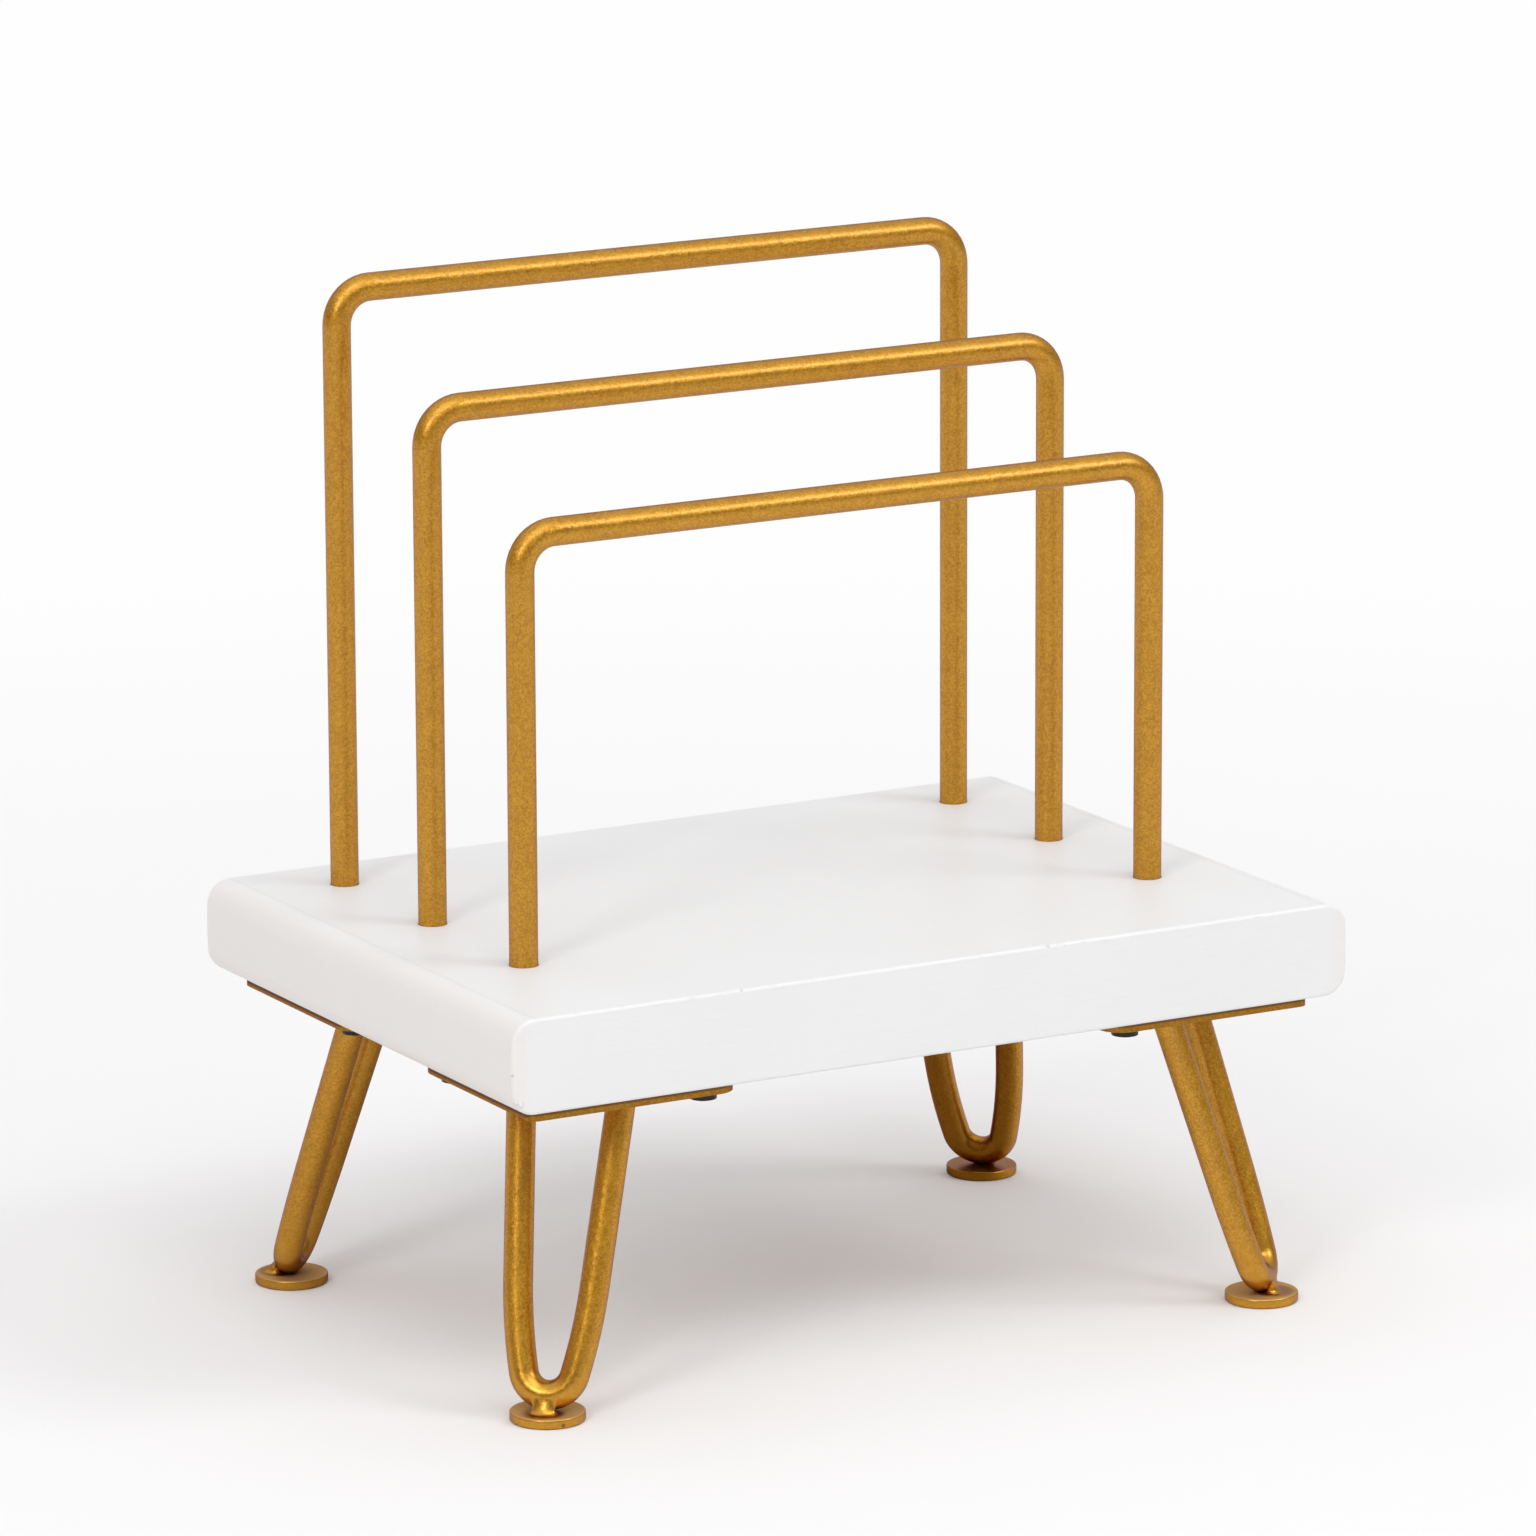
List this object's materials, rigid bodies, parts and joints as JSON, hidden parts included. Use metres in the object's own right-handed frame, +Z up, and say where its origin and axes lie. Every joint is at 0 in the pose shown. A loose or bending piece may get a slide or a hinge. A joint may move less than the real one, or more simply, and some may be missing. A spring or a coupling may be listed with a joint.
{
  "type": "letter rack",
  "caption": "Desk letter rack: a white painted board on splayed hairpin legs, with gold rod loops stepped up towards the back that hold letters, pads and notebooks on edge.",
  "frame": {"origin": "on the floor, under the centre of the board", "axes": "+X to the right along the board, +Y to the back, +Z up"},
  "size_m": [0.1754, 0.1226, 0.1927],
  "materials": {
    "white_paint": "satin white paint on wood",
    "gold_paint": "satin metallic gold paint on steel",
    "black_screw": "black oxide steel"
  },
  "bodies": {
    "root": {"base_board": "white_paint", "front_loop": "gold_paint", "middle_loop": "gold_paint", "rear_loop": "gold_paint", "front_left_plate": "gold_paint", "front_left_hairpin": "gold_paint", "front_left_foot": "gold_paint", "front_left_screws": "black_screw", "front_right_plate": "gold_paint", "front_right_hairpin": "gold_paint", "front_right_foot": "gold_paint", "front_right_screws": "black_screw", "rear_left_plate": "gold_paint", "rear_left_hairpin": "gold_paint", "rear_left_foot": "gold_paint", "rear_left_screws": "black_screw", "rear_right_plate": "gold_paint", "rear_right_hairpin": "gold_paint", "rear_right_foot": "gold_paint", "rear_right_screws": "black_screw"}
  },
  "joints": []
}
